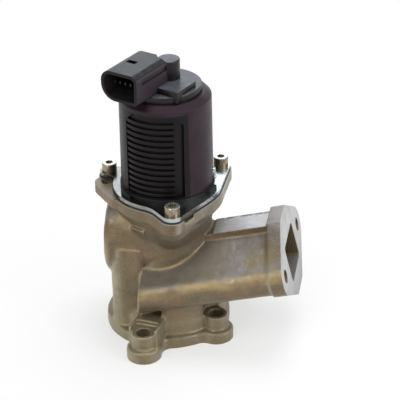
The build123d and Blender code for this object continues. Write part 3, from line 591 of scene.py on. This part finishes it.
def rubbery(name, colour):
    """Dull rubber or gasket sheet, in two tones of one colour."""
    f = Finish(name, roughness=0.75)
    darker = tuple(0.6 * c for c in colour)
    f.link(f.mix(f.remap(f.noise(3 * MM), 0.3, 0.7), colour, darker), "Base Color")
    f.bump(f.noise(0.3 * MM), 0.02 * MM)
    return f.material


FINISHES = {
    "cast_aluminium": cast_aluminium(),
    "plated_steel": metal("plated_steel", (0.60, 0.58, 0.52), (0.46, 0.44, 0.40), 0.34),
    "hardened_steel": metal("hardened_steel", (0.45, 0.45, 0.45), (0.33, 0.33, 0.34), 0.28),
    "sintered_bronze": metal("sintered_bronze", (0.46, 0.33, 0.18), (0.33, 0.23, 0.12), 0.5),
    "stainless_sheet": metal("stainless_sheet", (0.52, 0.47, 0.40), (0.34, 0.28, 0.24), 0.34),
    "seal_compound": rubbery("seal_compound", (0.03, 0.03, 0.03)),
    "spring_steel": metal("spring_steel", (0.38, 0.38, 0.40), (0.26, 0.26, 0.28), 0.3),
    "gasket_sheet": rubbery("gasket_sheet", (0.035, 0.032, 0.03)),
    "bright_steel": plate_steel(),
    "zinc_screws": screw_zinc(),
    "soft_iron": metal("soft_iron", (0.30, 0.30, 0.31), (0.22, 0.22, 0.22), 0.4),
    "brass_sleeve": metal("brass_sleeve", (0.66, 0.50, 0.24), (0.52, 0.38, 0.18), 0.3),
    "bobbin_plastic": plastic("bobbin_plastic", (0.62, 0.56, 0.44), (0.55, 0.49, 0.38), 0.5),
    "enamelled_copper": metal(
        "enamelled_copper", (0.50, 0.20, 0.07), (0.36, 0.13, 0.05), 0.3, grain=(1, 1, 30)
    ),
    "black_moulding": ribbed_moulding(),
    "black_foot": plastic("black_foot", (0.008, 0.008, 0.009), (0.005, 0.005, 0.006), 0.45, specular=0.35),
    "black_cap": cap_moulding(),
    "black_connector": connector_moulding(),
    "sensor_board": plastic("sensor_board", (0.04, 0.16, 0.07), (0.03, 0.12, 0.05), 0.4),
    # painted shade: the pins sit in the shaded mouth of the connector and are painted nearly black
    "tinned_pins": metal("tinned_pins", (0.07, 0.065, 0.06), (0.04, 0.04, 0.036), 0.4),
    "valve_steel": metal("valve_steel", (0.42, 0.40, 0.38), (0.28, 0.26, 0.25), 0.34),
}

for part in RECORD["subparts"]:
    shown = NODES[part["node"]]
    shown.data.materials.clear()
    shown.data.materials.append(FINISHES[part["material_slot"]])


# ---------------------------------------------------------------- meshes and objects
WELD_DISTANCE = 0.001 * MM
LEVEL_TOLERANCE = 0.01 * MM


def mesh_of(bm, name):
    """The mesh of a bmesh, which is freed."""
    mesh = bpy.data.meshes.new(name)
    bm.to_mesh(mesh)
    bm.free()
    return mesh


def linked(name, data):
    """A new object in the scene."""
    piece = bpy.data.objects.new(name, data)
    bpy.context.scene.collection.objects.link(piece)
    return piece


def plane_of(mount):
    """A point and the outward direction of a mount's face."""
    found = next(m for m in RECORD["mounts"] if m["name"] == mount)
    return Vector(found["pos_m"]), Vector(found["axis"]).normalized()


# ---------------------------------------------------------------- cast body
MACHINING_STOCK = 3 * MM      # the blank stands this far over a machined face before it is cut
PLANE_TOLERANCE = 0.02 * MM
SAME_DIRECTION = 0.999        # cosine between two normals that count as one
BODY_VOXEL = 0.7 * MM
SMOOTH_ROUNDS = 14
SMOOTH_STEP = 0.6
SWELL_STEP = -0.45            # back after each smoothing step, which keeps the volume
DENTS = [(5.5 * MM, 0.17 * MM), (2.2 * MM, 0.06 * MM)]      # width and depth, coarse and fine
BASE_THICKNESS = 7 * MM
TOP_FLANGE = (9 * MM, 7 * MM)              # its hold starts and is full this far under its face
LUG = (-13 * MM, -23.6 * MM, 65 * MM)      # wedge under the top flange
EARS = [(-8 * MM, -43.5 * MM), (29.5 * MM, -18 * MM), (-16 * MM, 38 * MM)]
# how much of the rounding each form is spared
DUCT_FLANGE_HOLD = 0.9
PAD_HOLD = 0.95
LUG_HOLD = 0.8
EAR_HOLD = 0.75
TOP_FLANGE_HOLD = 0.6
PAD_SNAP = 0.6 * MM           # vertices this near to the pad's top and sides are drawn onto them
MACHINED_SLOT = 1             # places of the finishes on the casting, after its cast skin
PAD_SLOT = 2


def on_plane(face, point, normal):
    """Whether a face lies in a plane and looks the same way."""
    off_plane = (face.calc_center_median() - point).dot(normal)
    return face.normal.dot(normal) > SAME_DIRECTION and abs(off_plane) < PLANE_TOLERANCE


def relaxed(places, edges, weights, rounds):
    """Laplacian smoothing with a weight for each vertex, and a step back that keeps the volume."""
    a, b = edges[:, 0], edges[:, 1]
    count = len(places)
    degree = np.bincount(a, minlength=count) + np.bincount(b, minlength=count)
    for step in range(2 * rounds):
        strength = SMOOTH_STEP if step % 2 == 0 else SWELL_STEP
        total = np.empty_like(places)
        for k in range(3):
            total[:, k] = np.bincount(a, places[b, k], count) + np.bincount(b, places[a, k], count)
        places = places + strength * weights[:, None] * (total / degree[:, None] - places)
    return places


def closeness(distance, near, far):
    """1 within `near`, 0 beyond `far`, smooth between."""
    t = np.clip((far - distance) / (far - near), 0, 1)
    return t * t * (3 - 2 * t)


def beyond(distance, start, full):
    """0 up to `start`, 1 from `full` on, smooth between."""
    return closeness(-distance, -full, -start)


def duct_frame():
    """A point on the duct's axis in its face, the way out along the axis, and up across it."""
    point, axis = plane_of("duct_bolts")
    return point, axis, axis.cross(Vector((0, 1, 0)))


def fillet_weights(places):
    """How freely each point of the casting is rounded: little on the flanges, the pad and the ears."""
    point, axis, rise = (np.array(v) for v in duct_frame())
    behind_face = -(places - point) @ axis
    over_axis = (places - point) @ rise
    x, y, z = places.T
    on_duct = beyond(x, 25 * MM, 28 * MM)
    pad = beyond(over_axis, DUCT_HALF_HEIGHT - 0.3 * MM, DUCT_HALF_HEIGHT + 0.9 * MM) * on_duct
    from_lug = np.linalg.norm(places - np.array(LUG), axis=1)
    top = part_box("valve_body")[1].z
    flange_start, flange_full = (top - drop for drop in TOP_FLANGE)
    held = [
        (closeness(behind_face, DUCT_FLANGE + 0.5 * MM, DUCT_FLANGE + 2.5 * MM), DUCT_FLANGE_HOLD),
        (pad, PAD_HOLD),
        (closeness(from_lug, 8 * MM, 11 * MM), LUG_HOLD),
        (beyond(z, flange_start, flange_full), TOP_FLANGE_HOLD),
    ]
    over_base = beyond(z, BASE_THICKNESS - 2 * MM, BASE_THICKNESS)
    for ear_x, ear_y in EARS:
        from_ear = np.hypot(x - ear_x, y - ear_y)
        held.append((closeness(from_ear, 9 * MM, 12 * MM) * over_base, EAR_HOLD))
    weights = np.ones(len(places))
    for nearness, hold in held:
        weights = np.minimum(weights, 1 - hold * nearness)
    return weights


def squared_pad(places):
    """The pad's vertices drawn onto its flat top and straight sides."""
    point, axis, rise = (np.array(v) for v in duct_frame())
    top = DUCT_HALF_HEIGHT + PAD_RISE
    foot = DUCT_HALF_HEIGHT + 0.8 * MM
    low, high = PAD_SIDES
    height = (places - point) @ rise
    behind_flange = -(places - point) @ axis > DUCT_FLANGE - 0.3 * MM
    across = (places[:, 1] > low - PAD_SNAP) & (places[:, 1] < high + PAD_SNAP)
    on_pad = behind_flange & across & (places[:, 0] > PAD_START) & (height < top + PAD_SNAP)
    flat = on_pad & (height > top - PAD_SNAP)
    places[flat] += np.outer(top - height[flat], rise)
    for side in PAD_SIDES:
        beside = on_pad & (height > foot) & (abs(places[:, 1] - side) < PAD_SNAP)
        places[beside, 1] = side
    return places


def mark_pad(bm):
    """Gives the flat top of the duct's pad its own finish and a sharp rim."""
    point, axis, rise = duct_frame()
    top = DUCT_HALF_HEIGHT + PAD_RISE
    for face in bm.faces:
        level = all(abs((v.co - point).dot(rise) - top) < LEVEL_TOLERANCE for v in face.verts)
        if level and face.calc_center_median().x > PAD_START:
            face.material_index = PAD_SLOT
    for edge in bm.edges:
        if len({face.material_index for face in edge.link_faces}) > 1:
            edge.smooth = False


def sand_dented(mesh, places, weights):
    """Shallow dents of the sand mould, inward only, so that the casting stays in its box."""
    normals = np.empty(len(places) * 3)
    mesh.vertex_normals.foreach_get("vector", normals)
    depth = np.zeros(len(places))
    for width, deepest in DENTS:
        dents = np.array([noise.noise(Vector(place / width)) for place in places])
        depth += deepest * np.clip(0.5 + dents, 0, 1)
    return places - normals.reshape(-1, 3) * (weights * depth)[:, None]


def machining_cuts():
    """A point and the outward direction of each machined face: the duct's, the base's and the top."""
    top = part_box("valve_body")[1].z
    return [plane_of("duct_face"), plane_of("base_face"), (Vector((0, 0, top)), Vector(UP))]


def blank_with_stock(cuts):
    """The solid body, grown outwards on each face that is machined later."""
    bm = bmesh.new()
    bm.from_mesh(NODES["valve_body"].data)
    bmesh.ops.remove_doubles(bm, verts=bm.verts, dist=WELD_DISTANCE)
    for point, normal in cuts:
        bm.faces.ensure_lookup_table()
        bm.normal_update()
        faces = [f for f in bm.faces if on_plane(f, point, normal)]
        grown = bmesh.ops.extrude_face_region(bm, geom=faces)["geom"]
        bmesh.ops.delete(bm, geom=faces, context="FACES_KEEP_BOUNDARY")
        moved = [g for g in grown if isinstance(g, bmesh.types.BMVert)]
        bmesh.ops.translate(bm, vec=normal * MACHINING_STOCK, verts=moved)
    return mesh_of(bm, "body_blank")


def remeshed(blank):
    """The blank as one even mesh, which can be rounded and dented."""
    holder = linked("body_blank", blank)
    remesh = holder.modifiers.new("remesh", "REMESH")
    remesh.mode = "VOXEL"
    remesh.voxel_size = BODY_VOXEL
    remesh.adaptivity = 0
    graph = bpy.context.evaluated_depsgraph_get()
    mesh = bpy.data.meshes.new_from_object(holder.evaluated_get(graph), depsgraph=graph)
    bpy.data.objects.remove(holder)
    return mesh


def give_cast_skin(mesh):
    """Rounds the corners between the forms, dents the skin and straightens the pad."""
    places = np.empty(len(mesh.vertices) * 3)
    mesh.vertices.foreach_get("co", places)
    places = places.reshape(-1, 3)
    edges = np.empty(len(mesh.edges) * 2, np.int64)
    mesh.edges.foreach_get("vertices", edges)
    weights = fillet_weights(places)
    places = relaxed(places, edges.reshape(-1, 2), weights, SMOOTH_ROUNDS)
    mesh.vertices.foreach_set("co", places.ravel())
    mesh.update()
    places = sand_dented(mesh, places, weights)
    mesh.vertices.foreach_set("co", squared_pad(places).ravel())
    mesh.update()


def machine(mesh, cuts):
    """Cuts the stock off again, which leaves flat faces with sharp rims."""
    bm = bmesh.new()
    bm.from_mesh(mesh)
    for face in bm.faces:
        face.smooth = True
    for point, normal in cuts:
        everything = bm.verts[:] + bm.edges[:] + bm.faces[:]
        cut = bmesh.ops.bisect_plane(bm, geom=everything, plane_co=point, plane_no=normal, clear_outer=True)
        rim = [g for g in cut["geom_cut"] if isinstance(g, bmesh.types.BMEdge)]
        filled = bmesh.ops.triangle_fill(bm, use_beauty=True, edges=rim, normal=normal)
        for face in (g for g in filled["geom"] if isinstance(g, bmesh.types.BMFace)):
            face.material_index = MACHINED_SLOT
            face.smooth = False
        for edge in rim:
            edge.smooth = False
    mark_pad(bm)
    bm.to_mesh(mesh)
    bm.free()


def body_casting():
    """The valve body as a casting: soft fillets where its forms meet, crisp where it is machined."""
    cuts = machining_cuts()
    mesh = remeshed(blank_with_stock(cuts))
    give_cast_skin(mesh)
    machine(mesh, cuts)
    mesh.materials.append(FINISHES["cast_aluminium"])
    mesh.materials.append(machined_aluminium())
    mesh.materials.append(milled_pad())
    casting = linked("body_casting", mesh)
    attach(casting, "housing")
    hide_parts("valve_body")


# ---------------------------------------------------------------- small pieces
GASKET_BEAD = 0.32 * MM
SHARP_ANGLE = math.radians(60)
FOOT_TABS = 13
TAB_START, TAB_STEP = -136, 5.2            # degrees round from +X
TAB_TILT = -28                # degrees, outer edge up
TAB_RING = 26.4 * MM
TAB_SINK = 0.2 * MM           # of its centre under the top of the foot ring
TAB_SIZE = (1.9 * MM, 1.0 * MM, 0.9 * MM)  # along the ring, across it and up
TAB_BEVEL = 0.22 * MM
STRAP_TURN = 3                # degrees round from +X
STRAP_HEIGHTS = (91.3 * MM, 99.2 * MM)
STRAP_RADII = (25.7 * MM, 27.2 * MM)
STRAP_HALF_WIDTH = 1.9 * MM
STRAP_BEVEL = 0.25 * MM
CROWN_STEPS = 10              # round the strap's upper end
RIVET = (93.6 * MM, 1.35 * MM)     # height and radius
RIVET_DOME = 0.55             # its rise as a share of its radius


def outer_loop(node, height):
    """The longest loop of sharp edges of a node at one height, as points in order."""
    bm = bmesh.new()
    bm.from_mesh(NODES[node].data)
    bmesh.ops.remove_doubles(bm, verts=bm.verts, dist=WELD_DISTANCE)
    bm.normal_update()
    level = [e for e in bm.edges if all(abs(v.co.z - height) < LEVEL_TOLERANCE for v in e.verts)]
    left = [e for e in level if e.is_manifold and e.calc_face_angle() > SHARP_ANGLE]
    loops = []
    while left:
        edge = left.pop()
        start, here = edge.verts
        loop = [start.co.copy(), here.co.copy()]
        while True:
            onward = next((e for e in here.link_edges if e in left), None)
            if onward is None:
                break
            left.remove(onward)
            here = onward.other_vert(here)
            loop.append(here.co.copy())
        loops.append(loop[:-1])
    bm.free()
    return max(loops, key=lambda loop: sum((a - b).length for a, b in zip(loop, loop[1:])))


def gasket_edge():
    """Black edge of the gasket, squeezed out under the plate."""
    points = outer_loop("mounting_plate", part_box("mounting_plate")[0].z)
    curve = bpy.data.curves.new("gasket_edge", "CURVE")
    curve.dimensions = "3D"
    curve.bevel_depth = GASKET_BEAD
    curve.bevel_resolution = 3
    spline = curve.splines.new("NURBS")
    spline.points.add(len(points) - 1)
    for spot, place in zip(spline.points, points):
        spot.co = (*place, 1)
    spline.use_cyclic_u = True
    spline.order_u = 3
    curve.materials.append(FINISHES["gasket_sheet"])
    edge = linked("gasket_edge", curve)
    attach(edge, "housing")


def foot_tabs():
    """Crimped tabs in the foot ring, along the front of the shell."""
    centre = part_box("foot_ring")[1].z - TAB_SINK
    length, depth, rise = TAB_SIZE
    tilt = Matrix.Rotation(math.radians(TAB_TILT), 4, "Y")
    shape = Matrix.Diagonal((depth, length, rise, 1))
    bm = bmesh.new()
    for k in range(FOOT_TABS):
        turn = Matrix.Rotation(math.radians(TAB_START + TAB_STEP * k), 4, "Z")
        place = turn @ Matrix.Translation((TAB_RING, 0, centre))
        bmesh.ops.create_cube(bm, size=1, matrix=place @ tilt @ shape)
    bmesh.ops.bevel(bm, geom=bm.edges[:], offset=TAB_BEVEL, segments=2, affect="EDGES", profile=0.5)
    mesh = mesh_of(bm, "foot_tabs")
    mesh.materials.append(FINISHES["black_foot"])
    tabs = linked("foot_tabs", mesh)
    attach(tabs, "housing")


def working_spring(node):
    """A still copy of a spring, shown in its place while the part itself is hidden."""
    spring = linked(node + "_coil", NODES[node].data.copy())
    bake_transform(spring)
    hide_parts(node)


def earth_strap():
    """Bright sheet tab with a rivet, at the foot of the shell over the duct."""
    low, high = STRAP_HEIGHTS
    inner, outer = STRAP_RADII
    half = STRAP_HALF_WIDTH
    turns = [math.pi * k / CROWN_STEPS for k in range(CROWN_STEPS + 1)]
    crown = [(half * math.cos(t), high - half + half * math.sin(t)) for t in turns]
    outline = [(half, low), *crown, (-half, low)]
    bm = bmesh.new()
    face = bm.faces.new([bm.verts.new((inner, y, z)) for y, z in outline])
    grown = bmesh.ops.extrude_face_region(bm, geom=[face])["geom"]
    front = [g for g in grown if isinstance(g, bmesh.types.BMVert)]
    bmesh.ops.translate(bm, vec=(outer - inner, 0, 0), verts=front)
    rim = [e for e in bm.edges if all(v in front for v in e.verts)]
    bmesh.ops.bevel(bm, geom=rim, offset=STRAP_BEVEL, segments=2, affect="EDGES", profile=0.5)
    height, radius = RIVET
    dome = Matrix.Translation((outer, 0, height)) @ Matrix.Diagonal((RIVET_DOME, 1, 1, 1))
    bmesh.ops.create_uvsphere(bm, u_segments=20, v_segments=12, radius=radius, matrix=dome)
    bmesh.ops.recalc_face_normals(bm, faces=bm.faces[:])
    turn = Matrix.Rotation(math.radians(STRAP_TURN), 3, "Z")
    bmesh.ops.rotate(bm, cent=(0, 0, 0), matrix=turn, verts=bm.verts[:])
    mesh = mesh_of(bm, "earth_strap")
    mesh.materials.append(FINISHES["bright_steel"])
    strap = linked("earth_strap", mesh)
    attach(strap, "housing")


# ---------------------------------------------------------------- the scene
body_casting()
working_spring("return_spring")
working_spring("sensor_spring")
gasket_edge()
foot_tabs()
earth_strap()

bpy.context.scene.view_settings.view_transform = "Standard"
make_camera()
make_world()
make_floor()
WARM, COOL, COLD = (1, 0.97, 0.92), (0.95, 0.97, 1), (0.86, 0.93, 1)
softbox("front", place=(-0.35, -0.75, 0.95), aim=(0, 0, 0.06), size=(0.5, 0.5), power=4, colour=WARM)
softbox("top", place=(0.15, 0.2, 1.0), aim=(0, 0, 0.1), size=(0.6, 0.6), power=6)
softbox("back", place=(-0.1, 0.95, 0.62), aim=(0, 0, 0.09), size=(0.8, 0.35), power=1.8, colour=COLD)
softbox("right", place=(0.9, -0.35, 0.5), aim=(0, 0, 0.08), size=(0.4, 0.7), power=3.5, colour=COOL)
